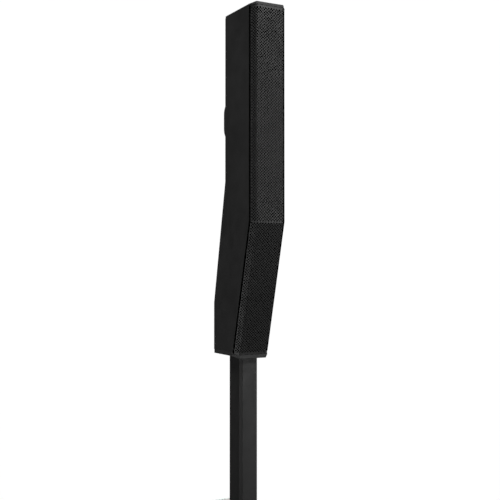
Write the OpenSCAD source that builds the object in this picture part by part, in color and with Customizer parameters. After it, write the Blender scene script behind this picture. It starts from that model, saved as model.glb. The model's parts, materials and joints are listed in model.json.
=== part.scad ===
// Column loudspeaker system: a ten-driver array that bends back below its
// fold, on a plug-in pole, over a ported subwoofer that holds the mixer amplifier.
// The origin is on the floor under the middle of the subwoofer. The front faces -Y.

/* [Array] */
// Height of the array with its two caps
array_h = 820; // [815:1:860]
// Width across the caps
cap_w = 95.2; // [95.2:0.4:102]
// Depth of the array above the bend
upper_depth = 134; // [128:1:136]
// Angle by which the lower half leans back
tilt = 14.8; // [14:0.1:15.4]
// From the top of the array down to the fold in its front
fold_h = 502.6; // [498:0.2:508]
// Width of the flat front of the grille
grille_flat_w = 69.6; // [66:0.4:74]
// How far the grille's wings run back
wing_depth = 14.1; // [12:0.1:14.1]
// How far the rear handle stands out of the back
handle_proud = 36.5; // [32:0.5:46]

/* [Drivers] */
// Full-range drivers above the fold
upper_count = 6; // [3:1:6]
// Full-range drivers below the fold
lower_count = 4; // [2:1:4]
// Radius of a full-range driver's frame
driver_r = 35.5; // [33:0.5:36]
// Radius of the woofer's frame
woofer_r = 130; // [120:1:136]

/* [Pole] */
// Pole width, left to right
pole_w = 47.4; // [46:0.1:50]
// Pole depth, front to back
pole_d = 61.7; // [60:0.1:64]
// Chamfer on the pole's four long edges
pole_chamfer = 5.5; // [3:0.5:7]
// Length of pole between the subwoofer and the array
pole_len = 432; // [300:4:700]

/* [Subwoofer] */
// Width of the subwoofer
sub_w = 340; // [332:2:400]
// Depth of the subwoofer
sub_d = 460; // [450:2:500]
// Height of the subwoofer on its feet
sub_h = 480; // [476:2:540]
// Pole centre to the subwoofer's back
pole_back = 315; // [300:1:320]

/* [Controls] */
// Radius of a level knob
knob_r = 9; // [7:0.5:12]
// Distance between level knobs
knob_pitch = 50; // [40:1:54]

/* [Hidden] */

$fn = 48;
eps = 0.5;          // how far a cut runs past a face
touch = 0.2;        // gap between pieces of one body that only touch
slip = 0.3;         // gap between pieces that slide in each other

// Heights and depths of the array. d runs back from its front, h down from its top.
top_z = sub_h + pole_len + array_h - 6;
pole_y = sub_d / 2 - pole_back;
fold_run = (array_h - 9.4 - fold_h) * tan(tilt);
cap_back_step = fold_run + 1.2;               // front of the bottom cap behind the top's
front_y = pole_y - 47.85 - cap_back_step;     // front of the top cap
pole_off = pole_y - front_y;                  // pole centre behind the array's front
lower_depth = upper_depth + 60;
bend_top = 400.7;
bend_bottom = 692;
bend_slope = (lower_depth - upper_depth) / (bend_bottom - bend_top);
cap_flat = 35.3;                              // half the flat front of a cap
cap_corner = 15;                              // depth of a cap's corner chamfer
lip_run = 16;
lip_rise = 5.2;
top_lip_h = 7;
seam_top = 9.5;
seam_bottom = array_h - 15;
grille_bottom = array_h - 9.6;
cap_seat = array_h - 6;                       // flat underside that stands on the pole
skin = 0.4;                                   // caps stand this far outside the housing
wall = 4;
edge_wall = 0.8;                              // housing wall where it borders the grille
housing_w = cap_w - 2 * skin;
baffle_front = 20;
baffle_t = 8;
baffle_w = housing_w - 2 * wall - 2 * touch;
grille_t = 1.2;
grille_front = 0.3;
wing_out = 7.9;
driver_pitch = 77;
first_driver = 52;
first_lower = 42;
lower_pitch = 73;
handle_h = 252;                               // middle of the rear handle below the top

function at(d, h) = [front_y + d, top_z - h];
function lean(off, h) = off / cos(tilt) + (h - fold_h) * tan(tilt);
function fold_at(off) = fold_h - off * tan(tilt / 2);
function above_fold(a, b, top) =
    [[a, top], [b, top], [b, fold_at(b)], [a, fold_at(a)]];
function below_fold(a, b, low) =
    [[a, fold_at(a)], [b, fold_at(b)], [lean(b, low), low], [lean(a, low), low]];

// A side outline in d and h, made into a slab that is centred on X.
module slab(width, points)
    translate([-width / 2, 0, 0]) rotate([90, 0, 90]) linear_extrude(width)
        polygon([for (p = points) at(p[0], p[1])]);

module box(x, y, z) translate([x[0], y[0], z[0]]) cube([x[1] - x[0], y[1] - y[0], z[1] - z[0]]);

module post(r, z0, z1) translate([0, 0, z0]) cylinder(r = r, h = z1 - z0);

// Something drawn facing +Z is turned to face the front, or the back.
module face_front() rotate([90, 0, 0]) children();
module face_back() rotate([90, 0, 180]) children();

// A place on the array's front above the fold, or s below the fold on the leaning part.
module on_upper(h, off) translate([0, front_y + off, top_z - h]) face_front() children();
module on_lower(s, off)
    translate([0, front_y, top_z - fold_h]) rotate([tilt, 0, 0]) translate([0, off, -s])
        face_front() children();
module each_driver(off) {
    for (i = [0 : upper_count - 1]) on_upper(first_driver + i * driver_pitch, off) children();
    for (i = [0 : lower_count - 1]) on_lower(first_lower + i * lower_pitch, off) children();
}

module ring_of(n, r, turn = 0)
    for (i = [0 : n - 1]) rotate(turn + i * 360 / n) translate([r, 0, 0]) children();

// A pan-head screw whose head starts at z = 0 and whose shank goes down.
module screw(r, length) {
    difference() {
        post(r * 1.9, 0, r * 1.2);
        translate([0, 0, r * 0.6]) cylinder(r = r * 0.9, h = r, $fn = 6);
    }
    post(r, -length, eps / 5);
}

// A rectangle with round corners, as exact arcs.
module round_rect(w, h, r) {
    square([w - 2 * r, h], center = true);
    square([w, h - 2 * r], center = true);
    for (x = [-1, 1], y = [-1, 1]) translate([x * (w / 2 - r), y * (h / 2 - r)]) circle(r);
}

// A rectangle with its four corners cut at 45 degrees.
module cut_rect(w, h, c)
    polygon([for (q = [[1, 1], [-1, 1], [-1, -1], [1, -1]], k = q[0] * q[1] > 0 ? [0, 1] : [1, 0])
        [q[0] * (w / 2 - k * c), q[1] * (h / 2 - (1 - k) * c)]]);

/* ---- Array ---- */

function shell(off, back, top, low) = [
    [off, top], [upper_depth - back, top], [upper_depth - back, bend_top],
    [lower_depth - back, bend_bottom], [lower_depth - back, low],
    [lean(off, low), low], [off, fold_at(off)]];

rib_t = 4;
rib_places = [160, 330, 610];
lead_gap = 16;
bolt_x = 38;                                  // cap screws either side of the middle
top_bolts = [44, 116];
low_bolts = [pole_off - 10, pole_off + 46];
plug_low = 16;                                // lower end of the top cap's plug
boss_len = 14;
boss_w = 11;
module array_housing() color("#1d1d1e") {
    inner_w = housing_w - 2 * wall;
    rim_w = housing_w - 2 * edge_wall;
    difference() {
        slab(housing_w, shell(cap_corner, skin, seam_top, seam_bottom));
        slab(inner_w, shell(cap_corner - eps, skin + wall, seam_top - eps, seam_bottom + eps));
        slab(rim_w, above_fold(cap_corner - eps, baffle_front + baffle_t, seam_top - eps));
        slab(rim_w, below_fold(cap_corner - eps, baffle_front + baffle_t, seam_bottom + eps));
        for (s = [-1, 1]) handle_bolts(s) post(2.1, -wall - 2, 2);
    }
    // Cross ribs that stiffen the back, with a gap for the lead in the middle
    difference() {
        for (h = rib_places) {
            back = upper_depth - skin - wall / 2 + max(0, (h - bend_top) * bend_slope);
            near = back - 34;
            slab(inner_w + eps, [[near, h], [back, h], [back, h + rib_t], [near, h + rib_t]]);
        }
        box([-lead_gap / 2, lead_gap / 2], [front_y, front_y + lower_depth], [top_z - array_h, top_z]);
    }
    // Bosses that take the cap screws
    difference() {
        for (s = [-1, 1], d = top_bolts) boss(s, d, [plug_low + touch, plug_low + boss_len]);
        cap_bolts() post(1.6, -boss_len - 30, 0);
    }
    difference() {
        for (s = [-1, 1], d = low_bolts) boss(s, d, [seam_bottom - boss_len, seam_bottom - touch]);
        low_cap_bolts() post(1.6, -boss_len - 30, 0);
    }
}
module boss(s, d, h) translate([s * (bolt_x + housing_w / 2 - wall) / 2, front_y + d, top_z - h[1]])
    translate([-boss_w / 2, -boss_w / 2, 0]) cube([boss_w, boss_w, h[1] - h[0]]);

module cap_plan(front, depth) {
    c = 3;
    w = cap_w / 2;
    translate([0, front_y + front])
        polygon([[-cap_flat, 0], [cap_flat, 0], [w, cap_corner], [w, depth - c], [w - c, depth],
            [c - w, depth], [-w, depth - c], [-w, cap_corner]]);
}

module array_top_cap() color("#2b2b2c") difference() {
    union() {
        intersection() {
            slab(cap_w, [[0, 0], [lip_run, lip_rise], [upper_depth, lip_rise],
                [upper_depth, seam_top], [cap_corner, seam_top], [cap_corner, top_lip_h], [0, top_lip_h]]);
            translate([0, 0, top_z - 20]) linear_extrude(30) cap_plan(0, upper_depth);
        }
        plug_w = housing_w - 2 * wall - 2 * touch;
        slab(plug_w, [[34, seam_top - eps], [upper_depth - skin - wall - touch, seam_top - eps],
            [upper_depth - skin - wall - touch, plug_low], [34, plug_low]]);
    }
    cap_bolts() post(1.6, -30, 30);
}

// Places of the four screws that hold each cap, as seen from above
module cap_bolts() for (x = [-bolt_x, bolt_x], d = top_bolts)
    translate([x, front_y + d, top_z - lip_rise]) children();
module low_cap_bolts() for (x = [-bolt_x, bolt_x], d = low_bolts)
    translate([x, front_y + d, top_z - cap_seat]) rotate([180, 0, 0]) children();

spigot_w = 34;
spigot_d = 44;
baffle_low = seam_bottom - 16;                // lower end of the leaning baffle
stand_back = pole_off - spigot_d / 2 - slip - 3.5;
module array_bottom_cap() color("#2b2b2c") difference() {
    front = cap_back_step;
    union() {
        intersection() {
            slab(cap_w, [[front, grille_bottom + touch], [front, array_h], [front + lip_run, cap_seat],
                [lower_depth, cap_seat], [lower_depth, seam_bottom], [front + cap_corner, seam_bottom],
                [front + cap_corner, grille_bottom + touch]]);
            translate([0, 0, top_z - array_h - 5]) linear_extrude(40)
                cap_plan(front, lower_depth - front);
        }
        // The upstand closes the housing below the end of the baffle
        slab(baffle_w, [[stand_back - 6, baffle_low + touch], [stand_back, baffle_low + touch],
            [stand_back, cap_seat - 4], [stand_back - 6, cap_seat - 4]]);
    }
    at_pole(0) box([-spigot_w / 2 - slip, spigot_w / 2 + slip],
        [-spigot_d / 2 - slip, spigot_d / 2 + slip], [top_z - array_h - 5, top_z]);
    low_cap_bolts() post(1.6, -30, 30);
}

module baffle(points) difference() {
    slab(baffle_w, points);
    each_driver(baffle_front) post(driver_r - 4, -baffle_t - 12, 12);
    each_driver(baffle_front) ring_of(4, driver_r - 2.6, 45) post(1.1, -baffle_t - 12, 12);
}
module upper_baffle() color("#161616")
    baffle(above_fold(baffle_front, baffle_front + baffle_t, seam_top + touch));
module lower_baffle() color("#161616")
    baffle(below_fold(baffle_front, baffle_front + baffle_t, baffle_low));

// The grille is one folded steel tray, drawn as the section that both halves share.
module tray_section() {
    half = grille_flat_w / 2;
    long = norm([wing_out, wing_depth]);
    nx = grille_t * wing_depth / long;
    ny = grille_t * wing_out / long;
    inner = half - grille_t * tan((90 - atan(wing_out / wing_depth)) / 2);
    f = grille_front;
    polygon([[-half, f], [half, f], [half + wing_out, f + wing_depth],
        [half + wing_out - nx, f + wing_depth + ny], [inner, f + grille_t], [-inner, f + grille_t],
        [nx - half - wing_out, f + wing_depth + ny], [-half - wing_out, f + wing_depth]]);
}
module array_grille() color("#323334") {
    reach = 40;
    intersection() {
        translate([0, front_y, top_z - fold_h - 20]) linear_extrude(fold_h + 20) tray_section();
        slab(2 * cap_w, above_fold(-eps, reach, top_lip_h + touch));
    }
    intersection() {
        translate([0, front_y, top_z - fold_h]) rotate([tilt, 0, 0])
            translate([0, 0, -array_h / 2]) linear_extrude(array_h / 2 + 20) tray_section();
        slab(2 * cap_w, below_fold(-eps, reach, grille_bottom));
    }
}

foam_gap = 4;                                 // foam behind the grille's sheet
module array_foam() color("#0d0d0d") {
    near = grille_front + grille_t + foam_gap;
    foam_w = grille_flat_w - 3;
    slab(foam_w, above_fold(near, near + 3, seam_top + touch));
    slab(foam_w, below_fold(near, near + 3, seam_bottom - touch));
}

// Full-range driver: every piece is drawn facing +Z from the front of the baffle.
cone_r = 24;
basket_deep = 20;
module ring(points) rotate_extrude() polygon(points);
module driver_baskets() color("#2e2e30") each_driver(baffle_front) difference() {
    ring([[driver_r, 0], [driver_r, 2], [cone_r + 5.9, 2], [cone_r + 5.9, 1], [cone_r + 4.5, 1],
        [17, 1 - basket_deep], [8, 1 - basket_deep], [8, -basket_deep], [18.5, -basket_deep],
        [cone_r + 6, -1], [cone_r + 6, 0]]);
    ring_of(4, driver_r - 2.6, 45) post(1.1, -3, 3);
    ring_of(4, 24) translate([0, 0, -10]) cube([12, 13, 12], center = true);
}
module driver_surrounds() color("#111112") each_driver(baffle_front) rotate_extrude()
    translate([cone_r + 2.2, 1.2]) difference() {
        circle(3.4);
        circle(2.6);
        translate([-5, -10]) square([10, 10]);
    }
module driver_cones() color("#1b1b1d") each_driver(baffle_front)
    ring([[9, -8], [9.5, -8.6], [cone_r - 0.6, 0.3], [cone_r - 0.6, 1.1]]);
module driver_dust_caps() color("#1b1b1d") each_driver(baffle_front) intersection() {
    difference() {
        translate([0, 0, -15.6]) sphere(12);
        translate([0, 0, -15.6]) sphere(11.2);
    }
    post(8.7, -8, 0);
}
module driver_magnets() color("#77797c") each_driver(baffle_front) {
    post(17, -basket_deep - 14, -basket_deep);
    post(7.4, -basket_deep, -12);
}
module driver_screws() color("#2a2a2a") each_driver(baffle_front)
    ring_of(4, driver_r - 2.6, 45) translate([0, 0, 2]) screw(1, 8);

module coil(r, hole, h) difference() {
    post(r, 0, h);
    post(hole, 2, h + 1);
}
board_back = upper_depth - skin - wall;
module crossover_board() {
    y1 = front_y + board_back - 3;
    z0 = top_z - 320;
    color("#1f5a36") box([-30, 30], [y1 - 1.6, y1], [z0, z0 + 110]);
    color("#c9c9c9") for (x = [-25, 25], z = [6, 104])
        translate([x, y1, z0 + z]) face_back() post(2.5, 0, 3);
    color("#b5713a") for (x = [-15, 13], z = [30, 72])
        translate([x, y1 - 1.6, z0 + z]) face_front() coil(9, 4, 12);
    color("#303a66") for (z = [15, 51, 95])
        translate([0, y1 - 1.6, z0 + z]) face_front() post(5, 0, 16);
}

// Lead inside the array, clipped down the back wall from the board to the socket
module array_harness() color("#26262a") {
    y0 = front_y + board_back - 9;
    box([-4, 4], [y0, y0 + 5], [top_z - bend_top + 20, top_z - 320.2]);
    slab(8, [[board_back - 9, bend_top - 20], [board_back - 4, bend_top - 20],
        [lower_depth - 14, bend_bottom], [lower_depth - 14, 776], [lower_depth - 19, 776],
        [lower_depth - 19, bend_bottom], [board_back - 9, bend_top]]);
    slab(8, [[pole_off + 12.2, 771], [lower_depth - 19, 771], [lower_depth - 19, 776],
        [pole_off + 12.2, 776]]);
}

// Receiver over the pole's spigot
spigot_len = 28;
cup_roof = cap_seat - spigot_len - 1 - wall;
module at_pole(z) translate([0, pole_y, z]) children();
module contact_places() for (x = [-7, 7], y = [-7, 7]) translate([x, y, 0]) children();
module array_socket() color("#232324") difference() {
    reach_x = spigot_w / 2 + slip;
    reach_y = spigot_d / 2 + slip;
    union() {
        at_pole(0) box([-reach_x - 3, reach_x + 3], [-reach_y - 3, reach_y + 3],
            [top_z - seam_bottom, top_z - cup_roof]);
        at_pole(0) box([-reach_x - 11, reach_x + 11], [-reach_y, reach_y],
            [top_z - seam_bottom, top_z - seam_bottom + 3]);
    }
    at_pole(0) box([-reach_x, reach_x], [-reach_y, reach_y],
        [top_z - seam_bottom - eps, top_z - cup_roof - wall]);
    at_pole(0) contact_places() post(3, top_z - seam_bottom, top_z - cup_roof + eps);
}
module array_connector() color("#0f0f10") difference() {
    at_pole(0) box([-12, 12], [-12, 12], [top_z - cup_roof, top_z - cup_roof + 12]);
    at_pole(0) contact_places() post(2.6, top_z - cup_roof - eps, top_z - cup_roof + 8);
}

// Rear handle: a broad bow on two feet
handle_w = 66;
bow_r = 30;
bow_flat = 17;
bow_t = 8;
foot_reach = 66;
bow_rise = handle_proud - bow_r;
module bow_shape(r, below) {
    translate([-bow_flat - r, -below]) square([2 * (bow_flat + r), bow_rise + below]);
    translate([-bow_flat, -below]) square([2 * bow_flat, bow_rise + r + below]);
    for (s = [-1, 1]) translate([s * bow_flat, bow_rise]) circle(r);
}
module at_handle() translate([0, front_y + upper_depth - skin, top_z - handle_h]) children();
module handle_bolts(s) at_handle() for (x = [-20, 20])
    translate([x, 0, s * 57]) face_back() children();
module rear_handle() color("#19191a") difference() {
    at_handle() rotate([0, 90, 0]) translate([0, 0, -handle_w / 2])
        linear_extrude(handle_w) {
            intersection() {
                difference() {
                    bow_shape(bow_r, 0);
                    bow_shape(bow_r - bow_t, eps);
                }
                translate([-100, 0]) square([200, 100]);
            }
            for (s = [-1, 1]) translate([s * (foot_reach + bow_flat + bow_r - bow_t) / 2, 2])
                square([foot_reach - bow_flat - bow_r + bow_t, 4], center = true);
        }
    for (s = [-1, 1]) handle_bolts(s) post(2.1, -2, 10);
}
module handle_screws() color("#3a3a3c")
    for (s = [-1, 1]) handle_bolts(s) translate([0, 0, 4]) screw(2, 9);

module cap_screws() color("#3a3a3c") {
    cap_bolts() screw(1.5, 20);
    low_cap_bolts() screw(1.5, 20);
}

/* ---- Pole ---- */

pole_wall = 3;
top_plug = 40;
low_plug = 60;
low_spigot_len = 80;
low_spigot_w = 39.6;
low_spigot_d = 53.6;
pin_r = 2.2;
module pole_tube() color("#222223") difference() {
    at_pole(sub_h) linear_extrude(pole_len) cut_rect(pole_w, pole_d, pole_chamfer);
    at_pole(sub_h - eps) linear_extrude(pole_len + 2 * eps)
        cut_rect(pole_w - 2 * pole_wall, pole_d - 2 * pole_wall, pole_chamfer - 1.5);
    pole_bolts() post(1.6, -8, 4);
}
module pole_plug(z, h) at_pole(z) linear_extrude(h)
    cut_rect(pole_w - 2 * pole_wall - touch, pole_d - 2 * pole_wall - touch, pole_chamfer - 1.4);
module cable_bore() at_pole(0) post(4.6, sub_h - low_spigot_len - eps, top_z - cap_seat + spigot_len + eps);
module pole_top_spigot() color("#2e2e30") difference() {
    seat = sub_h + pole_len;
    union() {
        pole_plug(seat - top_plug, top_plug);
        at_pole(seat - eps) linear_extrude(spigot_len + eps) cut_rect(spigot_w, spigot_d, 3);
    }
    cable_bore();
    pole_bolts() post(1.3, -12, 4);
}
module pole_bottom_spigot() color("#2e2e30") difference() {
    union() {
        pole_plug(sub_h, low_plug);
        at_pole(sub_h - low_spigot_len) linear_extrude(low_spigot_len + eps)
            cut_rect(low_spigot_w, low_spigot_d, 4);
    }
    cable_bore();
    pole_bolts() post(1.3, -12, 4);
}
// Two set screws at each end, in the pole's back face
module pole_bolts() for (z = [sub_h + 22, sub_h + pole_len - 20], x = [-10, 10])
    translate([x, pole_y + pole_d / 2, z]) face_back() children();
module pole_screws() color("#4a4a4c") pole_bolts() translate([0, 0, -2.4]) {
    difference() {
        post(1.55, 0, 2);
        translate([0, 0, 1]) cylinder(r = 0.9, h = 2, $fn = 6);
    }
    post(1.25, -7, 0.1);
}
module pole_contacts() color("#b8974a") at_pole(0) contact_places() {
    post(pin_r, sub_h + pole_len + spigot_len, sub_h + pole_len + spigot_len + 8);
    post(pin_r, sub_h - low_spigot_len - 8, sub_h - low_spigot_len);
}
module pole_cable() color("#18181a")
    at_pole(0) post(4.5, sub_h - low_spigot_len + 1, sub_h + pole_len + spigot_len - 1);

/* ---- Subwoofer ---- */

ply = 15;
foot_h = 12;
sub_x = sub_w / 2;
sub_y = sub_d / 2;
in_x = sub_x - ply;
screw_r = 2;
screw_len = 12;
sink = 2.6;                                   // depth of a counterbore
hole_r = screw_r + 0.1;
low_in = foot_h + ply;
top_in = sub_h - ply;
panel_w = 250;
panel_h = 322;
panel_z = 245;
panel_t = 3;
panel_face = sub_y - 19;                      // outer face of the amplifier panel
cleat = 12;
sub_baffle_y = -sub_y + 30;
sub_baffle_t = 18;
woofer_z = 295;
port_x = 82;
port_z = 92;
port_r = 36;
grip_y = 60;
grip_z = 340;
grip_w = 130;
grip_h = 74;
grip_flange = 12;
flange_t = 5;
socket_flange = 5;

module sub_cabinet() color("#202021") difference() {
    union() {
        difference() {
            intersection() {
                translate([0, 0, foot_h]) linear_extrude(sub_h - foot_h) round_rect(sub_w, sub_d, 10);
                translate([0, sub_y, (sub_h + foot_h) / 2]) face_front()
                    linear_extrude(sub_d) round_rect(sub_w, sub_h - foot_h, 10);
            }
            box([-in_x, in_x], [-sub_y - eps, sub_y - ply], [low_in, top_in]);
        }
        // Cleat behind the amplifier panel
        difference() {
            box([-panel_w / 2 - cleat, panel_w / 2 + cleat],
                [panel_face - panel_t - cleat, sub_y - ply + eps],
                [panel_z - panel_h / 2 - cleat, panel_z + panel_h / 2 + cleat]);
            box([cleat - panel_w / 2, panel_w / 2 - cleat], [0, sub_y],
                [panel_z - panel_h / 2 + cleat, panel_z + panel_h / 2 - cleat]);
        }
    }
    box([-panel_w / 2 - 1, panel_w / 2 + 1], [panel_face - panel_t, sub_y + eps],
        [panel_z - panel_h / 2 - 1, panel_z + panel_h / 2 + 1]);
    panel_bolts() post(hole_r, -panel_t - cleat + 2, 1);
    socket_bolts() post(hole_r, -ply - 1, 0);
    grip_bolts() post(hole_r, -ply - 1, 0);
    // Pole socket
    at_pole(sub_h - ply - eps) linear_extrude(ply + 2 * eps) square([58, 70], center = true);
    at_pole(sub_h - socket_flange) linear_extrude(socket_flange + eps) square([84, 98], center = true);
    // Side handles
    for (s = [-1, 1]) {
        at_grip(s) translate([0, 0, -ply - 2]) linear_extrude(ply + 4) round_rect(grip_w, grip_h, 14);
        at_grip(s) translate([0, 0, -flange_t]) linear_extrude(flange_t + 2)
            round_rect(grip_w + 2 * grip_flange, grip_h + 2 * grip_flange, 20);
    }
}

module sub_baffle() color("#1a1a1b") difference() {
    box([touch - in_x, in_x - touch], [sub_baffle_y, sub_baffle_y + sub_baffle_t],
        [low_in + touch, top_in - touch]);
    at_woofer() post(woofer_r - 17, -sub_baffle_t - 1, 1);
    at_woofer() ring_of(8, woofer_r - 7, 22.5) post(2.1, -sub_baffle_t - 1, 1);
    at_ports() post(port_r + 3 + touch, -sub_baffle_t - 1, 1);
    grille_bolts() post(hole_r, -42, 0);
}

sub_grille_face = -sub_y + 3;
module sub_grille() color("#2a2a2b") difference() {
    box([slip - in_x, in_x - slip], [sub_grille_face, sub_grille_face + 14],
        [low_in + slip, top_in - slip]);
    box([slip + 1.5 - in_x, in_x - slip - 1.5], [sub_grille_face + 1.5, sub_grille_face + 15],
        [low_in + slip + 1.5, top_in - slip - 1.5]);
    grille_bolts() post(2.1, -3, 3);
}
module grille_bolts() for (x = [-1, 1], z = [low_in + 14, (low_in + top_in) / 2, top_in - 14])
    translate([x * (in_x - 12), sub_grille_face, z]) face_front() children();
module grille_screws() color("#3a3a3c") grille_bolts() screw(screw_r, 38);
module sub_foam() color("#0d0d0d") difference() {
    box([4 - in_x, in_x - 4], [sub_grille_face + 1.5 + touch, sub_grille_face + 6.5],
        [low_in + 4, top_in - 4]);
    grille_bolts() post(2.1, -9, 3);
}

module at_woofer() translate([0, sub_baffle_y, woofer_z]) face_front() children();
module at_ports() for (s = [-1, 1]) translate([s * port_x, sub_baffle_y, port_z]) face_front() children();
woofer_deep = 68;
woofer_cone_r = 94;
module woofer_basket() color("#29292b") at_woofer() difference() {
    ring([[woofer_r - 18, 0], [woofer_r, 0], [woofer_r, 4], [woofer_r - 18, 4],
        [woofer_r - 20, 1], [58, 2 - woofer_deep], [34, 2 - woofer_deep], [34, -woofer_deep - 1],
        [60, -woofer_deep - 1], [woofer_r - 17.5, -1]]);
    ring_of(8, woofer_r - 7, 22.5) post(2.1, -1, 5);
    ring_of(6, 84) translate([0, 0, -32]) cube([36, 50, 36], center = true);
}
module woofer_surround() color("#121213") at_woofer() rotate_extrude()
    translate([woofer_r - 26, 4]) difference() {
        circle(9.5);
        circle(8);
        translate([-12, -20]) square([24, 20]);
    }
module woofer_cone() color("#1b1b1d") at_woofer()
    ring([[30, -34], [31.5, -35.5], [woofer_cone_r, 3], [woofer_cone_r, 4.4]]);
module woofer_dust_cap() color("#161617") at_woofer() intersection() {
    difference() {
        translate([0, 0, -68.5]) sphere(46);
        translate([0, 0, -68.5]) sphere(44.6);
    }
    post(29.5, -34, 0);
}
module woofer_magnet() color("#5c5e62") at_woofer() {
    post(66, -woofer_deep - 34, -woofer_deep - 1);
    post(25, -woofer_deep - 1.1, -42);
}
module woofer_screws() color("#3a3a3c") at_woofer()
    ring_of(8, woofer_r - 7, 22.5) translate([0, 0, 4]) screw(2, 18);
module port_tubes() color("#18181a") at_ports() rotate_extrude() difference() {
    union() {
        translate([port_r, -140]) square([3, 140]);
        translate([port_r, 0]) square([13, 3]);
    }
    translate([port_r - 1, 2]) rotate(45) square([3, 3], center = true);
}

socket_len = low_spigot_len + 2;
module pole_socket() color("#303032") difference() {
    union() {
        at_pole(sub_h - socket_flange) linear_extrude(socket_flange) round_rect(83, 97, 6);
        at_pole(sub_h - socket_len - 4) linear_extrude(socket_len + 2) square([54, 66], center = true);
    }
    at_pole(sub_h - socket_len) linear_extrude(socket_len + eps)
        square([low_spigot_w + 2 * slip, low_spigot_d + 2 * slip], center = true);
    at_pole(0) contact_places() post(3, sub_h - socket_len - 5, sub_h - socket_len + 1);
    socket_bolts() sunk_hole(socket_flange);
}
module socket_bolts() for (x = [-35, 35], y = [-41, 41]) at_pole(sub_h) translate([x, y, 0]) children();
module sunk_hole(thick) {
    post(hole_r, -thick - 1, 1);
    post(screw_r * 1.9 + 0.3, -sink, 1);
}
module socket_connector() color("#0f0f10") difference() {
    at_pole(0) box([-13, 13], [-13, 13], [sub_h - socket_len - 16, sub_h - socket_len - 4]);
    at_pole(0) contact_places() post(2.6, sub_h - socket_len - 13, sub_h - socket_len - 3);
}

// Place on the outside of a side wall, facing outwards
module at_grip(s)
    translate([s * sub_x, grip_y, grip_z]) rotate([0, s * 90, 0]) rotate([0, 0, 90]) children();
module grip_bolt(x, y) translate([x * (grip_w / 2 + 2), y * (grip_h / 2 + 2), 0]) children();
module grip_bolts() for (s = [-1, 1], x = [-1, 1], y = [-1, 1]) at_grip(s) grip_bolt(x, y) children();
cup_deep = 42;
module side_handles() color("#161617") for (s = [-1, 1]) at_grip(s) {
    difference() {
        union() {
            translate([0, 0, slip - flange_t]) linear_extrude(flange_t - slip)
                round_rect(grip_w + 2 * grip_flange - 1, grip_h + 2 * grip_flange - 1, 19.5);
            translate([0, 0, -cup_deep]) linear_extrude(cup_deep) round_rect(grip_w - 1, grip_h - 1, 13.5);
        }
        translate([0, 0, 3 - cup_deep]) linear_extrude(cup_deep) round_rect(grip_w - 7, grip_h - 7, 10.5);
        for (x = [-1, 1], y = [-1, 1]) grip_bolt(x, y) sunk_hole(flange_t);
    }
    // Grip bar, near the upper edge of the cup
    translate([0, s * (grip_h / 2 - 16), -11]) rotate([0, 90, 0])
        translate([0, 0, 3 - grip_w / 2]) cylinder(r = 8, h = grip_w - 6);
}

module rubber_feet() color("#0e0e0f") for (x = [-1, 1], y = [-1, 1])
    translate([x * (sub_x - 32), y * (sub_y - 32), 0]) difference() {
        cylinder(r1 = 17, r2 = 19, h = foot_h);
        post(6, -1, 5);
    }

/* ---- Amplifier panel, seen from the back ---- */

knob_z = 368;
socket_z = 318;
socket_xs = [86, 44];
latch_up = 17;                                // latch above the middle of its socket
jack_xs = [6, -20];
button_x = -62;
light_xs = [-92, -84, -76];
inlet = [-84, 115];
rocker = [-34, 115];
knob_xs = [for (i = [0 : 3]) (i - 1.5) * knob_pitch];
shaft_r = 3;
bush = 0.1;                                   // radial clearance of a shaft in the panel
module on_panel(x, z) translate([x, panel_face, z]) face_back() children();

module amp_panel() color("#242425") difference() {
    box([-panel_w / 2, panel_w / 2], [panel_face - panel_t, panel_face],
        [panel_z - panel_h / 2, panel_z + panel_h / 2]);
    for (x = knob_xs) on_panel(x, knob_z) post(shaft_r + bush, -panel_t - 1, 1);
    for (x = socket_xs) on_panel(x, socket_z) post(12.2, -panel_t - 1, 1);
    for (x = socket_xs) on_panel(x, socket_z + latch_up) cube([10, 10.2, 20], center = true);
    for (x = jack_xs) on_panel(x, socket_z) post(6.1, -panel_t - 1, 1);
    for (x = light_xs) on_panel(x, socket_z) post(1.6, -panel_t - 1, 1);
    on_panel(button_x, socket_z) post(5.3, -panel_t - 1, 1);
    on_panel(inlet[0], inlet[1]) cube([28.4, 22.4, 20], center = true);
    on_panel(rocker[0], rocker[1]) cube([22.4, 30.4, 20], center = true);
    panel_bolts() post(2.1, -panel_t - 1, 1);
}
module panel_bolts() for (x = [-1, 1], z = [-1, 0, 1])
    on_panel(x * (panel_w / 2 - 6), panel_z + z * (panel_h / 2 - 7)) children();
// One kind of screw holds the panel, the pole socket and the side handles to the cabinet
module cabinet_screws() color("#4a4a4c") {
    panel_bolts() screw(screw_r, screw_len);
    socket_bolts() sunk_screw();
    grip_bolts() sunk_screw();
}
module sunk_screw() translate([0, 0, -sink]) screw(screw_r, screw_len);

module heatsink() color("#1c1c1e") {
    on_panel(0, 215) translate([-100, -55, 0]) {
        cube([200, 110, 4]);
        for (i = [0 : 15]) translate([i * 13.1, 0, 4 - eps]) cube([3, 110, 13 + eps]);
    }
}
module amp_board() {
    y0 = panel_face - panel_t - 30;
    color("#1f5a36") box([-100, 100], [y0 - 1.6, y0], [182, 288]);
    color("#c9c9c9") for (x = [-92, 92], z = [190, 280])
        translate([x, y0, z]) face_back() post(3, 0, 30);
    color("#2b2b2d") for (x = [-70, -40, -10, 20])
        translate([x, y0 - 1.6, 262]) face_front() post(11, 0, 30);
    color("#b5713a") for (x = [50, 78]) translate([x, y0 - 1.6, 215]) face_front() coil(13, 5, 14);
}
module power_supply() {
    y1 = panel_face - panel_t;
    color("#8d9094") box([10, 108], [y1 - 58, y1 - touch], [98, 158]);
}
module power_inlet() color("#0f0f10") on_panel(inlet[0], inlet[1]) difference() {
    union() {
        translate([0, 0, 1]) cube([36, 30, 2], center = true);
        translate([0, 0, -11]) cube([28, 22, 24], center = true);
    }
    translate([0, 0, -5]) cube([24.4, 17, 20], center = true);
}
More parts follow.
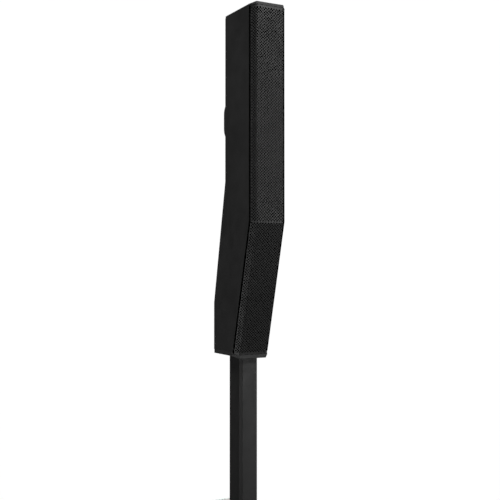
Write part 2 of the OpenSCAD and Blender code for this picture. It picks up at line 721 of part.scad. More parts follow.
module switch_bezel() color("#0f0f10") on_panel(rocker[0], rocker[1]) difference() {
    union() {
        translate([0, 0, 1]) cube([27, 35, 2], center = true);
        translate([0, 0, -8]) cube([22, 30, 18], center = true);
    }
    translate([0, 0, -2]) cube([18, 25, 24], center = true);
    translate([0, 0, -2]) rotate([0, 90, 0]) post(1.55, -10, 10);
}
// The rocker turns on a cross pin and its ends tip 8 degrees either way.
module power_rocker() color("#141414") on_panel(rocker[0], rocker[1]) translate([0, 0, -2]) {
    rotate([-8, 0, 0]) rotate([90, 0, 90]) translate([0, 0, -8.5]) linear_extrude(17)
        polygon([[-11.6, 4.5], [0, 3], [11.6, 4.5], [11.2, -4], [-11.2, -4]]);
    rotate([0, 90, 0]) post(1.45, -9.8, 9.8);
}

module input_sockets() color("#141415") for (x = socket_xs) on_panel(x, socket_z) difference() {
    union() {
        translate([0, 2, 1]) cube([27, 40, 2], center = true);
        post(12, -24, 1);
        translate([0, latch_up, -6]) cube([9.5, 9, 12], center = true);
    }
    post(9.5, -20, 3);
    ring_of(3, 6.2, 90) post(1.2, -22, -19);
    translate([0, latch_up, 0]) cube([6.6, 4.6, 30], center = true);
}
module latch(x) color("#3c3d40") on_panel(x, socket_z + latch_up)
    translate([0, 0, -3]) cube([6, 4, 15], center = true);
module socket_latch_1() latch(socket_xs[0]);
module socket_latch_2() latch(socket_xs[1]);

module line_jacks() color("#141415") for (x = jack_xs) on_panel(x, socket_z) difference() {
    union() {
        post(6, -20, 1);
        cylinder(r = 8.5, h = 3, $fn = 6);
    }
    post(3.3, -18, 4);
}
module mode_button() color("#333438") on_panel(button_x, socket_z) {
    post(5, -8, 4);
    post(6.5, -8, -4.5);
}
module status_lights() color("#3fae6a") for (x = light_xs) on_panel(x, socket_z) {
    post(1.5, -4, 0);
    intersection() {
        translate([0, 0, -0.5]) sphere(1.58);
        post(2, 0, 2);
    }
}

module level_knob(x) color("#2b2c2f") on_panel(x, knob_z) {
    difference() {
        union() {
            post(knob_r, 0.4, 13.4);
            post(knob_r + 1.2, 0.4, 2.4);
        }
        translate([0, knob_r - 4, 13.4]) cube([1.4, 6, 1.6], center = true);
    }
    post(shaft_r, -14, 2);
}
module level_knob_1() level_knob(knob_xs[0]);
module level_knob_2() level_knob(knob_xs[1]);
module level_knob_3() level_knob(knob_xs[2]);
module level_knob_4() level_knob(knob_xs[3]);

array_housing();
array_top_cap();
array_bottom_cap();
upper_baffle();
lower_baffle();
array_grille();
array_foam();
driver_baskets();
driver_surrounds();
driver_cones();
driver_dust_caps();
driver_magnets();
driver_screws();
crossover_board();
array_harness();
array_socket();
array_connector();
rear_handle();
handle_screws();
cap_screws();
pole_tube();
pole_top_spigot();
pole_bottom_spigot();
pole_contacts();
pole_cable();
pole_screws();
sub_cabinet();
sub_baffle();
sub_grille();
sub_foam();
grille_screws();
woofer_basket();
woofer_surround();
woofer_cone();
woofer_dust_cap();
woofer_magnet();
woofer_screws();
port_tubes();
pole_socket();
socket_connector();
side_handles();
rubber_feet();
amp_panel();
cabinet_screws();
heatsink();
amp_board();
power_supply();
power_inlet();
switch_bezel();
power_rocker();
input_sockets();
socket_latch_1();
socket_latch_2();
line_jacks();
mode_button();
status_lights();
level_knob_1();
level_knob_2();
level_knob_3();
level_knob_4();
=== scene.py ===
"""Looks for the column PA system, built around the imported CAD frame. All lengths are in metres."""
import json
import math

import bmesh
import bpy
from mathutils import Matrix, Vector

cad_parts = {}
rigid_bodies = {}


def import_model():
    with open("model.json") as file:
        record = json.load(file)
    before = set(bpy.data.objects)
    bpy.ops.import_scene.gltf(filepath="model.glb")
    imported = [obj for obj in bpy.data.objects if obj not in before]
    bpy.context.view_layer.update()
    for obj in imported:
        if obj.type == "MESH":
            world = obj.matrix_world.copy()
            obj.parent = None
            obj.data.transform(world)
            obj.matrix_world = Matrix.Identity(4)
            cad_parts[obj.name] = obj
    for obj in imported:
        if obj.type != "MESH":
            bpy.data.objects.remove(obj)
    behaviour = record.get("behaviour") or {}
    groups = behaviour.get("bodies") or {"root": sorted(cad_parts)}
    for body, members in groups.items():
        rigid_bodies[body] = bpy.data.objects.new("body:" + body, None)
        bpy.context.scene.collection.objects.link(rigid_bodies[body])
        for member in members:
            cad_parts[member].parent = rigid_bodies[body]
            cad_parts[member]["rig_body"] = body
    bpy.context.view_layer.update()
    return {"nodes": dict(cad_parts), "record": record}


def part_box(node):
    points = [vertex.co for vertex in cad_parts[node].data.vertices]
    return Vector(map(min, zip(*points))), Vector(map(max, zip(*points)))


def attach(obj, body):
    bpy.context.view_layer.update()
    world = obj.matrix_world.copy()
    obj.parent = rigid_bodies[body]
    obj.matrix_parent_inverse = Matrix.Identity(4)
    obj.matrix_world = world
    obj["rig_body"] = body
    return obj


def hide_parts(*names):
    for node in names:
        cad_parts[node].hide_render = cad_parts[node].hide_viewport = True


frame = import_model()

MM = 0.001
NODES = frame["nodes"]
SLOTS = {part["node"]: part["material_slot"] for part in frame["record"]["subparts"]}
TILT = math.radians(14.8)                     # lean of the array's lower half
FOLD = 502.6 * MM                             # from the array's top down to its fold


# ---------------------------------------------------------------- materials

class Nodes:
    """A material's node tree with short calls for what the surfaces here share."""

    def __init__(self, name):
        self.material = bpy.data.materials.new("look_" + name)
        self.material.use_nodes = True
        self.tree = self.material.node_tree
        self.shader = self.tree.nodes["Principled BSDF"]
        self.place = self.tree.nodes.new("ShaderNodeTexCoord").outputs["Object"]

    def add(self, kind, **values):
        node = self.tree.nodes.new(kind)
        for key, value in values.items():
            socket = key.replace("_", " ")
            if socket in node.inputs:
                node.inputs[socket].default_value = value
            else:
                setattr(node, key, value)
        return node

    def join(self, source, target):
        self.tree.links.new(source, target)

    def noise(self, scale, detail=3.0, stretch=None, roughness=0.5):
        place = self.place
        if stretch:
            mapping = self.add("ShaderNodeMapping", Scale=stretch)
            self.join(place, mapping.inputs["Vector"])
            place = mapping.outputs["Vector"]
        node = self.add("ShaderNodeTexNoise", Scale=scale, Detail=detail, Roughness=roughness)
        self.join(place, node.inputs["Vector"])
        return node.outputs["Fac"]

    def cells(self, scale, feature="F1"):
        node = self.add("ShaderNodeTexVoronoi", feature=feature, Scale=scale)
        self.join(self.place, node.inputs["Vector"])
        return node.outputs["Distance"]

    def spread(self, value, low, high, start=0.3, end=0.7):
        node = self.add("ShaderNodeMapRange")
        for socket, number in zip(("From Min", "From Max", "To Min", "To Max"), (start, end, low, high)):
            node.inputs[socket].default_value = number
        self.join(value, node.inputs["Value"])
        return node.outputs["Result"]

    def blend(self, value, dark, light):
        node = self.add("ShaderNodeValToRGB")
        node.color_ramp.elements[0].position = 0.3
        node.color_ramp.elements[1].position = 0.7
        node.color_ramp.elements[0].color = (*dark, 1)
        node.color_ramp.elements[1].color = (*light, 1)
        self.join(value, node.inputs["Fac"])
        self.join(node.outputs["Color"], self.shader.inputs["Base Color"])

    def bumps(self, *layers):
        """Each layer is (height, depth in metres, strength)."""
        normal = None
        for height, distance, strength in layers:
            node = self.add("ShaderNodeBump", Strength=strength, Distance=distance)
            self.join(height, node.inputs["Height"])
            if normal:
                self.join(normal, node.inputs["Normal"])
            normal = node.outputs["Normal"]
        self.join(normal, self.shader.inputs["Normal"])


def shade(colour, factor):
    return tuple(c * factor for c in colour)


def coat(name, colour, rough, grain=900.0, depth=0.00004, tone=0.18, metal=0.0, spec=0.5):
    """Powder coat, enamel or moulded plastic: a fine grain, with slow changes in tone and gloss."""
    m = Nodes(name)
    slow = m.noise(7.0, 4.0)
    fine = m.noise(grain, 2.0, roughness=0.6)
    m.blend(slow, shade(colour, 1 - tone), shade(colour, 1 + tone))
    m.join(m.spread(m.noise(34.0, 5.0), rough - 0.06, rough + 0.06), m.shader.inputs["Roughness"])
    m.bumps((fine, depth, 0.6), (m.noise(grain / 7, 2.0), depth * 2, 0.15))
    m.shader.inputs["Metallic"].default_value = metal
    m.shader.inputs["Specular IOR Level"].default_value = spec
    return m.material


def pebble(name, colour, rough, scale=420.0, depth=0.00022):
    """Sprayed polyurea: rounded pebbles over a slow orange peel."""
    m = Nodes(name)
    m.blend(m.noise(11.0, 4.0), shade(colour, 0.8), shade(colour, 1.2))
    m.join(m.spread(m.noise(90.0, 4.0), rough - 0.08, rough + 0.08), m.shader.inputs["Roughness"])
    m.bumps((m.cells(scale, "SMOOTH_F1"), depth, 0.75), (m.noise(scale / 5, 3.0), depth, 0.3))
    return m.material


def foam(name, colour):
    m = Nodes(name)
    m.blend(m.cells(620.0), shade(colour, 0.4), shade(colour, 1.5))
    m.shader.inputs["Roughness"].default_value = 0.95
    m.bumps((m.cells(620.0), 0.0006, 1.0))
    return m.material


def pressed_paper(name, colour):
    m = Nodes(name)
    m.blend(m.noise(160.0, 6.0, stretch=(1, 3, 1)), shade(colour, 0.7), shade(colour, 1.35))
    m.join(m.spread(m.noise(260.0, 4.0), 0.62, 0.8), m.shader.inputs["Roughness"])
    m.bumps((m.noise(520.0, 5.0, stretch=(1, 2.5, 1)), 0.0001, 0.8))
    return m.material


def rubber(name, colour, rough=0.7):
    m = Nodes(name)
    m.blend(m.noise(25.0, 5.0), shade(colour, 0.75), shade(colour, 1.3))
    m.join(m.spread(m.noise(140.0, 4.0), rough - 0.07, rough + 0.07), m.shader.inputs["Roughness"])
    m.bumps((m.noise(1500.0, 2.0), 0.00005, 0.6))
    return m.material


def bare_metal(name, colour, rough, stretch=(1, 1, 14)):
    m = Nodes(name)
    lines = m.noise(240.0, 4.0, stretch=stretch)
    m.blend(lines, shade(colour, 0.85), shade(colour, 1.1))
    m.join(m.spread(lines, rough - 0.08, rough + 0.1), m.shader.inputs["Roughness"])
    m.shader.inputs["Metallic"].default_value = 1.0
    m.bumps((lines, 0.00003, 0.4))
    return m.material


def board_mask(name, colour):
    m = Nodes(name)
    m.blend(m.cells(230.0), shade(colour, 0.6), shade(colour, 1.5))
    m.join(m.spread(m.noise(60.0), 0.3, 0.45), m.shader.inputs["Roughness"])
    m.bumps((m.cells(230.0), 0.00005, 0.5))
    return m.material


def lit_lens(name, colour):
    m = Nodes(name)
    m.blend(m.noise(800.0), shade(colour, 0.8), colour)
    m.join(m.spread(m.noise(300.0), 0.2, 0.3), m.shader.inputs["Roughness"])
    m.shader.inputs["Emission Color"].default_value = (*colour, 1)
    m.shader.inputs["Emission Strength"].default_value = 0.6
    return m.material


def grey(value):
    return (value, value, value)


SHELL = coat("array_enamel", grey(0.021), 0.52, grain=1500, depth=0.00003)
CAP = coat("cap_black", grey(0.03), 0.56, grain=2200, depth=0.00002)
GRILLE = coat("grille_enamel", grey(0.034), 0.52, grain=2600, depth=0.00002)
POLE = coat("pole_enamel", grey(0.018), 0.52, grain=1900, depth=0.00002)
FOAM = foam("foam_black", grey(0.003))
BAFFLE = coat("baffle_black", grey(0.004), 0.9, spec=0.2)
BASKET = coat("basket_black", grey(0.03), 0.4, metal=0.2)
PAPER = pressed_paper("cone_black", grey(0.02))
SURROUND = rubber("surround_rubber", grey(0.012))
MAGNET = bare_metal("magnet_steel", grey(0.45), 0.35)
SCREW = coat("screw_black", grey(0.035), 0.35, metal=0.6, grain=3000)
BOARD = board_mask("board_green", (0.012, 0.1, 0.04))
CABLE = rubber("cable_black", grey(0.015), 0.55)
CONNECTOR = coat("connector_black", grey(0.014), 0.4, grain=2500)
BRASS = bare_metal("contact_brass", (0.72, 0.5, 0.2), 0.25)
SPIGOT = coat("spigot_black", grey(0.03), 0.5)
CABINET = pebble("cabinet_coat", grey(0.02), 0.6)
PANEL = coat("panel_enamel", grey(0.026), 0.42, grain=2400, depth=0.00002)
HEATSINK = coat("heatsink_black", grey(0.02), 0.38, metal=0.7, grain=3000)
ZINC = bare_metal("supply_steel", grey(0.5), 0.4)
FOOT = rubber("foot_rubber", grey(0.011))
HANDLE = coat("handle_black", grey(0.02), 0.5, grain=1100, depth=0.00007)
KNOB = rubber("knob_black", grey(0.03), 0.55)
LATCH = coat("latch_grey", grey(0.06), 0.4)
LIGHT = lit_lens("light_green", (0.05, 0.7, 0.2))
PRINT = coat("panel_print", grey(0.62), 0.55, grain=2000)
COPPER = bare_metal("copper", (0.62, 0.27, 0.12), 0.35)

LOOKS = {
    "array_housing": SHELL, "array_top_cap": CAP, "array_bottom_cap": CAP, "upper_baffle": BAFFLE,
    "lower_baffle": BAFFLE, "array_grille": GRILLE, "array_foam": FOAM, "driver_baskets": BASKET,
    "driver_surrounds": SURROUND, "driver_cones": PAPER, "driver_dust_caps": PAPER,
    "driver_magnets": MAGNET, "driver_screws": SCREW, "crossover_board": BOARD,
    "array_harness": CABLE, "array_socket": SPIGOT, "array_connector": CONNECTOR,
    "rear_handle": HANDLE, "handle_screws": SCREW, "cap_screws": SCREW, "pole_tube": POLE,
    "pole_top_spigot": SPIGOT, "pole_bottom_spigot": SPIGOT, "pole_contacts": BRASS,
    "pole_cable": CABLE, "pole_screws": SCREW, "sub_cabinet": CABINET, "sub_baffle": BAFFLE,
    "sub_grille": GRILLE, "sub_foam": FOAM, "grille_screws": SCREW, "woofer_basket": BASKET,
    "woofer_surround": SURROUND, "woofer_cone": PAPER, "woofer_dust_cap": PAPER,
    "woofer_magnet": MAGNET, "woofer_screws": SCREW, "port_tubes": BAFFLE, "pole_socket": SPIGOT,
    "socket_connector": CONNECTOR, "side_handles": HANDLE, "rubber_feet": FOOT, "amp_panel": PANEL,
    "cabinet_screws": SCREW, "heatsink": HEATSINK, "amp_board": BOARD, "power_supply": ZINC,
    "power_inlet": CONNECTOR, "switch_bezel": CONNECTOR, "power_rocker": CONNECTOR,
    "input_sockets": CONNECTOR, "socket_latch_1": LATCH, "socket_latch_2": LATCH,
    "line_jacks": CONNECTOR, "mode_button": KNOB, "status_lights": LIGHT, "level_knob_1": KNOB,
    "level_knob_2": KNOB, "level_knob_3": KNOB, "level_knob_4": KNOB}

for node_name, look in LOOKS.items():
    NODES[node_name].data.materials.clear()
    NODES[node_name].data.materials.append(look)


# ------------------------------------------------------------- mesh helpers

def body_of_node(node):
    return NODES[node]["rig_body"]


def add_piece(name, mesh, look, body, slot, replaced=()):
    piece = bpy.data.objects.new(name, mesh)
    bpy.context.scene.collection.objects.link(piece)
    mesh.materials.clear()
    mesh.materials.append(look)
    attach(piece, body)
    if replaced:
        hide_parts(*replaced)
    return piece


def mesh_from(name, points, faces):
    mesh = bpy.data.meshes.new(name)
    mesh.from_pydata(points, [], faces)
    mesh.validate()
    return mesh


def apply_modifiers(piece):
    """Makes a piece's modifiers part of its mesh."""
    graph = bpy.context.evaluated_depsgraph_get()
    solved = bpy.data.meshes.new_from_object(piece.evaluated_get(graph))
    piece.modifiers.clear()
    piece.data = solved


# How wide the hard edges of a CAD node are rounded, in millimetres
EDGES = {
    "array_housing": 0.3, "array_top_cap": 0.7, "array_bottom_cap": 0.7, "pole_tube": 0.6,
    "rear_handle": 1.6, "sub_cabinet": 1.2, "side_handles": 1.0, "pole_socket": 0.8, "amp_panel": 0.3,
    "heatsink": 0.4, "power_rocker": 0.5, "switch_bezel": 0.5, "power_inlet": 0.5, "rubber_feet": 1.2,
    "mode_button": 0.4}


def softened(node, width):
    """A copy of a CAD node whose hard edges are rounded to the given width."""
    bm = bmesh.new()
    bm.from_mesh(NODES[node].data)
    bmesh.ops.remove_doubles(bm, verts=bm.verts, dist=1e-6)
    bmesh.ops.dissolve_limit(bm, angle_limit=math.radians(0.4), verts=bm.verts, edges=bm.edges)
    mesh = bpy.data.meshes.new(node + "_shape")
    bm.to_mesh(mesh)
    bm.free()
    piece = add_piece(node + "_rounded", mesh, LOOKS[node], body_of_node(node),
                      SLOTS[node], (node,))
    bevel = piece.modifiers.new("edges", "BEVEL")
    bevel.width = width
    bevel.segments = 2
    bevel.limit_method = "ANGLE"
    bevel.angle_limit = math.radians(28)
    bevel.use_clamp_overlap = False
    bevel.harden_normals = True
    apply_modifiers(piece)


def paint_seam_shade(piece):
    """Paints the housing's thin front edge, beside the grille, with the dull black of the baffle:
    painted shade for the shadow that lies in the groove between the housing and the grille's wing.
    """
    piece.data.materials.append(BAFFLE)
    # Painted shade: every face turned to the front gets the near-black baffle material.
    for face in piece.data.polygons:
        if face.normal.y < -0.5:
            face.material_index = 1


class Shape:
    """Collects simple closed solids into one mesh."""

    def __init__(self):
        self.bm = bmesh.new()

    def block(self, low, high, turn=None):
        size = Vector(high) - Vector(low)
        middle = (Vector(high) + Vector(low)) / 2
        place = Matrix.Translation(middle) @ Matrix.Diagonal((*size, 1))
        made = bmesh.ops.create_cube(self.bm, size=1.0, matrix=place)
        if turn:
            bmesh.ops.transform(self.bm, matrix=turn, verts=made["verts"])

    def lathe(self, profile, place, segments=48, radius=lambda r, angle, height: r):
        """Turns (radius, height) points about +Z of place, closed at both ends."""
        rings = []
        for r, height in profile:
            ring = []
            for i in range(segments):
                angle = 2 * math.pi * i / segments
                at = radius(r, angle, height)
                ring.append(self.bm.verts.new(place @ Vector(
                    (at * math.cos(angle), at * math.sin(angle), height))))
            rings.append(ring)
        for low, high in zip(rings, rings[1:]):
            for i in range(segments):
                j = (i + 1) % segments
                self.bm.faces.new((low[i], low[j], high[j], high[i]))
        self.bm.faces.new(list(reversed(rings[0])))
        self.bm.faces.new(rings[-1])

    def mesh(self, name, smooth_under=None):
        bmesh.ops.recalc_face_normals(self.bm, faces=self.bm.faces)
        made = bpy.data.meshes.new(name)
        self.bm.to_mesh(made)
        self.bm.free()
        if smooth_under:
            made.shade_smooth()
            made.set_sharp_from_angle(angle=math.radians(smooth_under))
        return made


# ------------------------------------------------------- perforated sheets

def perforated(columns, rows, step, hole, plain, place, name):
    """A sheet of staggered round holes, as points and faces.

    Sites run over columns and rows (low, high) in half pitches, and a site is used where the
    two add up to an even number. Each site is a diamond; plain(k, j) says which have no hole.
    place(u, v) puts a point of the flat sheet where it belongs."""
    corners = ((2, 0), (1, 1), (0, 2), (-1, 1), (-2, 0), (-1, -1), (0, -2), (1, -1))
    points, faces, known = [], [], {}

    def corner(i, j):
        if (i, j) not in known:
            known[i, j] = len(points)
            points.append(place(i / 2 * step[0], j / 2 * step[1]))
        return known[i, j]

    low_i, high_i = 2 * columns[0], 2 * columns[1]
    low_j, high_j = 2 * rows[0], 2 * rows[1]
    for k in range(columns[0], columns[1] + 1):
        for j in range(rows[0], rows[1] + 1):
            if (k + j) % 2:
                continue
            rim = [(2 * k + a, 2 * j + b) for a, b in corners]
            inside = [p for p in rim if low_i <= p[0] <= high_i and low_j <= p[1] <= high_j]
            if len(inside) < 8 or plain(k, j):
                faces.append([corner(*p) for p in inside])
                continue
            first = len(points)
            for a, b in corners:
                reach = math.hypot(a * step[0], b * step[1])
                points.append(place(k * step[0] + hole * a * step[0] / reach,
                                    j * step[1] + hole * b * step[1] / reach))
            for n in range(8):
                m = (n + 1) % 8
                faces.append([corner(*rim[n]), corner(*rim[m]), first + m, first + n])
    return mesh_from(name, points, faces)


def thicken(piece, thickness):
    """Gives a sheet its thickness, behind the face that it was drawn as."""
    solid = piece.modifiers.new("thickness", "SOLIDIFY")
    solid.thickness = thickness
    solid.offset = -1.0
    solid.use_even_offset = False
    apply_modifiers(piece)


def array_grille():
    """The folded tray, developed flat: a front, a rounded bend on each side, and two wings."""
    low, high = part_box("array_grille")
    array_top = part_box("array_top_cap")[1].z
    front = low.y
    half = 34.8 * MM                          # half of the flat front
    wing_deep = 14.1 * MM                     # how far the wings run back
    wing_out = high.x - half
    bend_r = 2.6 * MM
    hole = 2.15 * MM
    sheet = 1.1 * MM
    turn = math.pi / 2 - math.atan(wing_out / wing_deep)
    tangent = bend_r * math.tan(turn / 2)
    wing_long = math.hypot(wing_out, wing_deep)
    flat = half - tangent
    reach = flat + bend_r * turn + wing_long - tangent
    top_len = high.z - (array_top - FOLD)
    bottom = low.z

    def section(u):
        s, side = abs(u), math.copysign(1, u)
        if s <= flat:
            return side * s, 0.0
        along = min((s - flat) / bend_r, turn)
        x = flat + bend_r * math.sin(along)
        d = bend_r * (1 - math.cos(along))
        rest = max(0.0, s - flat - bend_r * turn)
        return side * (x + rest * math.cos(turn)), d + rest * math.sin(turn)

    def place(u, v):
        x, d = section(u)
        fold_z = array_top - FOLD + d * math.tan(TILT / 2)
        if v >= 0:
            return x, front + d, fold_z + v * (high.z - fold_z) / top_len
        longest = (array_top - FOLD - bottom) / math.cos(TILT)
        along = -v / longest * (fold_z - bottom) / math.cos(TILT)
        return x, front + d + along * math.sin(TILT), fold_z - along * math.cos(TILT)

    columns = 14
    pitch = (7.45 * MM / 2, 6.75 * MM / 2)
    upper = round(top_len / pitch[1])
    lower = round((array_top - FOLD - bottom) / math.cos(TILT) / pitch[1])
    row_step = top_len / upper
    step = (reach / columns, row_step)
    stretch = (array_top - FOLD - bottom) / math.cos(TILT) / lower / row_step

    def stretched(u, v):
        return place(u, v * stretch if v < 0 else v)

    def plain(k, j):
        return j == 0 or j > upper - 2 or j < 2 - lower
    mesh = perforated((-columns, columns), (-lower, upper), step, hole, plain, stretched,
                      "array_grille_holes")
    piece = add_piece("array_grille_holes", mesh, GRILLE, "array", "grille_enamel", ("array_grille",))
    thicken(piece, sheet)


def sub_grille():
    """A flat perforated sheet with a plain return on each side."""
    low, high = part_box("sub_grille")
    sheet = 1.5 * MM
    hole = 3.1 * MM
    step_wanted = (4.6 * MM, 7.96 * MM)
    half_w = (high.x - low.x) / 2 - sheet
    half_h = (high.z - low.z) / 2 - sheet
    middle = (high.z + low.z) / 2
    columns = round(half_w / step_wanted[0])
    rows = round(half_h / step_wanted[1])

    def place(u, v):
        return u, low.y, middle + v

    def plain(k, j):
        return abs(k) > columns - 3 or abs(j) > rows - 2
    mesh = perforated((-columns, columns), (-rows, rows), (half_w / columns, half_h / rows),
                      hole, plain, place, "sub_grille_holes")
    piece = add_piece("sub_grille_holes", mesh, GRILLE, "subwoofer", "grille_enamel", ("sub_grille",))
    thicken(piece, sheet)
    rim = Shape()
    for side in (-1, 1):
        x0, x1 = sorted((side * half_w, side * (half_w + sheet)))
        rim.block((x0, low.y, low.z), (x1, high.y, high.z))
        z0, z1 = sorted((middle + side * half_h, middle + side * (half_h + sheet)))
        rim.block((-half_w, low.y, z0), (half_w, high.y, z1))
    add_piece("sub_grille_returns", rim.mesh("sub_grille_returns"), GRILLE, "subwoofer", "grille_enamel")


# ------------------------------------------------------------- the controls

def level_knob(index):
    """A knob with a skirt, fluted sides, a domed top and a white pointer."""
    node = f"level_knob_{index}"
    low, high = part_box(node)
    shaft_end = low.y
    top = high.y
    centre = Vector(((low.x + high.x) / 2, 0, (low.z + high.z) / 2))
    place = Matrix.Translation(centre) @ Matrix.Rotation(-math.pi / 2, 4, "X")
    skirt = (high.x - low.x) / 2
    grip = skirt - 1.2 * MM
    foot = top - 13 * MM
    profile = [(skirt - 0.5 * MM, foot), (skirt, foot + 0.4 * MM), (skirt, foot + 1.4 * MM),
               (grip + 0.3 * MM, foot + 2.0 * MM), (grip, foot + 3.0 * MM),
               (grip - 0.4 * MM, top - 2.4 * MM), (grip - 1.0 * MM, top - 1.0 * MM),
               (grip - 2.4 * MM, top - 0.3 * MM), (2.0 * MM, top - 0.1 * MM)]
    flutes, points_each = 24, 4

    def fluted(r, angle, height):
        on_side = foot + 2.2 * MM < height < top - 0.8 * MM
        return r - (0.35 * MM * (0.5 + 0.5 * math.cos(flutes * angle)) if on_side else 0)
    shape = Shape()
    shape.lathe(profile, place, flutes * points_each, fluted)
    shape.lathe([(3.0 * MM, shaft_end), (3.0 * MM, foot + 0.1 * MM)], place, 24)
    add_piece(f"knob_cap_{index}", shape.mesh(f"knob_cap_{index}", 35), KNOB,
              body_of_node(node), "knob_black", (node,))
    pointer = Shape()
    pointer.block((centre.x - 0.6 * MM, top - 0.5 * MM, centre.z + 2.0 * MM),
                  (centre.x + 0.6 * MM, top - 0.02 * MM, centre.z + grip - 1.6 * MM))
    add_piece(f"knob_pointer_{index}", pointer.mesh(f"knob_pointer_{index}"), PRINT,
              body_of_node(node), "knob_black")


def panel_print():
    """Dial ticks and section frames printed on the amplifier panel."""
    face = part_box("amp_panel")[1].y
    thick = 0.12 * MM
    line = 0.5 * MM
    shape = Shape()
    for index in range(1, 5):
        low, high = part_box(f"level_knob_{index}")
        cx, cz = (low.x + high.x) / 2, (low.z + high.z) / 2
        inner = (high.x - low.x) / 2 + 1.6 * MM
        for tick in range(11):
            long = 3.0 * MM if tick in (0, 5, 10) else 1.8 * MM
            spin = Matrix.Rotation(math.radians(-150 + 30 * tick), 4, "Y")
            turn = Matrix.Translation((cx, 0, cz)) @ spin
            shape.block((-0.3 * MM, face, inner), (0.3 * MM, face + thick, inner + long), turn)

    def frame_line(low, high, margin):
        x0, x1 = low.x - margin, high.x + margin
        z0, z1 = low.z - margin, high.z + margin
        shape.block((x0, face, z0), (x1, face + thick, z0 + line))
        shape.block((x0, face, z1 - line), (x1, face + thick, z1))
        shape.block((x0, face, z0 + line), (x0 + line, face + thick, z1 - line))
        shape.block((x1 - line, face, z0 + line), (x1, face + thick, z1 - line))
    frame_line(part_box("level_knob_1")[0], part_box("level_knob_4")[1], 9 * MM)
    for node in ("input_sockets", "power_inlet", "switch_bezel"):
        frame_line(*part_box(node), 4 * MM)
    add_piece("panel_print", shape.mesh("panel_print"), PRINT, "subwoofer", "panel_enamel")


def jack_collars():
    """Bright collars on the two line jacks."""
    shape = Shape()
    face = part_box("amp_panel")[1].y
    low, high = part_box("line_jacks")
    inset = 8.5 * MM                          # from the node's end to the jack's middle
    outer, inner = 5.2 * MM, 3.35 * MM
    top = high.y - 0.1 * MM
    ring = [(inner, face), (inner, top), (outer, top), (outer, face)]
    for x in (low.x + inset, high.x - inset):
        centre = Matrix.Translation((x, 0, (low.z + high.z) / 2))
        tube(shape, ring, centre @ Matrix.Rotation(-math.pi / 2, 4, "X"), 36)
    add_piece("jack_collars", shape.mesh("jack_collars", 40), MAGNET, "subwoofer", "magnet_steel")


def tube(shape, loop, place, segments):
    """A closed (radius, height) loop turned about +Z of place."""
    rings = []
    for i in range(segments):
        angle = 2 * math.pi * i / segments
        rings.append([shape.bm.verts.new(place @ Vector((r * math.cos(angle), r * math.sin(angle), h)))
                      for r, h in loop])
    count = len(loop)
    for i in range(segments):
        here, there = rings[i], rings[(i + 1) % segments]
        for n in range(count):
            m = (n + 1) % count
            shape.bm.faces.new((here[n], here[m], there[m], there[n]))


# ---------------------------------------------------------- floor and light

def stage_piece(name, mesh, look):
    """A part of the studio, which isn't part of the object."""
    piece = bpy.data.objects.new(name, mesh)
    bpy.context.scene.collection.objects.link(piece)
    mesh.materials.append(look)
    return piece


def unseen_by(piece, *rays):
    for ray in rays:
        setattr(piece, "visible_" + ray, False)


def floor_disc():
    shape = Shape()
    shape.lathe([(1.9, -0.012), (1.9, -0.002), (1.89, 0.0)], Matrix.Identity(4), 96)
    pale = coat("floor_pale", grey(0.78), 0.7, grain=60, depth=0.0001, tone=0.02)
    unseen_by(stage_piece("floor", shape.mesh("floor"), pale), "diffuse", "glossy")


def white_surround():
    """A closed white drum that only the camera sees, so that the lights alone shape the object."""
    radius, low, high, wall = 7.0, -4.0, 7.0, 0.05
    shape = Shape()
    side = [(radius, low), (radius + wall, low), (radius + wall, high), (radius, high)]
    tube(shape, side, Matrix.Identity(4), 64)
    shape.lathe([(radius, high), (radius, high + wall)], Matrix.Identity(4), 64)
    shape.lathe([(radius, low - wall), (radius, low)], Matrix.Identity(4), 64)
    white = bpy.data.materials.new("white_surround")
    white.use_nodes = True
    shader = white.node_tree.nodes["Principled BSDF"]
    shader.inputs["Base Color"].default_value = (0, 0, 0, 1)
    shader.inputs["Emission Color"].default_value = (1, 1, 1, 1)
    shader.inputs["Emission Strength"].default_value = 1.0
    surround = stage_piece("white_surround", shape.mesh("white_surround"), white)
    unseen_by(surround, "diffuse", "glossy", "shadow", "transmission")


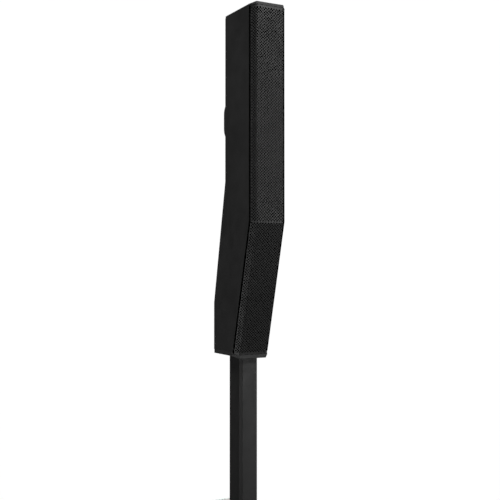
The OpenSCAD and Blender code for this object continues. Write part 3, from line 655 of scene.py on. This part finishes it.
def softbox(name, place, size, power):
    """An area light, aimed at the object's upper middle."""
    light = bpy.data.lights.new(name, "AREA")
    light.shape = "RECTANGLE"
    light.size, light.size_y = size
    light.energy = power
    lamp = bpy.data.objects.new(name, light)
    bpy.context.scene.collection.objects.link(lamp)
    aim = Vector((0, -0.1, 1.2)) - Vector(place)
    lamp.location = place
    lamp.rotation_euler = aim.to_track_quat("-Z", "Y").to_euler()


def studio():
    floor_disc()
    white_surround()
    world = bpy.data.worlds.new("studio")
    bpy.context.scene.world = world
    world.use_nodes = True
    background = world.node_tree.nodes["Background"]
    background.inputs["Color"].default_value = (1, 1, 1, 1)
    background.inputs["Strength"].default_value = 0.012
    softbox("key", (2.9, -5.5, 5.4), (0.9, 0.9), 250)
    softbox("front_fill", (3.0, -5.2, 1.0), (1.5, 1.5), 56)
    softbox("side_fill", (-3.2, 0.6, 6.4), (1.6, 1.6), 150)
    softbox("low_bounce", (-3.8, 0.4, -0.8), (1.6, 1.6), 55)
    softbox("front_left_fill", (-4.4, -2.5, 1.6), (1.6, 1.6), 24)
    softbox("right_fill", (3.6, -0.4, 2.2), (1.4, 2.4), 40)
    softbox("back_fill", (2.2, 3.4, 2.6), (1.8, 1.8), 230)
    bpy.context.scene.view_settings.view_transform = "Standard"


def camera():
    """Where the photograph was taken from, with no shift, so that it holds for other views."""
    data = bpy.data.cameras.new("camera")
    data.sensor_width = 36.0
    data.lens = 63.95
    data.clip_end = 40.0
    eye = bpy.data.objects.new("camera", data)
    bpy.context.scene.collection.objects.link(eye)
    eye.location = (-1.0035, -1.9727, 1.1269)
    yaw, pitch = math.radians(28.43), math.radians(0.94)
    eye.rotation_euler = (math.pi / 2 + pitch, 0, -yaw)
    bpy.context.scene.camera = eye


camera()
studio()
array_grille()
sub_grille()
for cad_node, edge in EDGES.items():
    softened(cad_node, edge * MM)
# Painted shade on the housing's front edge, where the groove beside the grille lies in shadow.
paint_seam_shade(bpy.data.objects["array_housing_rounded"])
for knob_index in range(1, 5):
    level_knob(knob_index)
panel_print()
jack_collars()
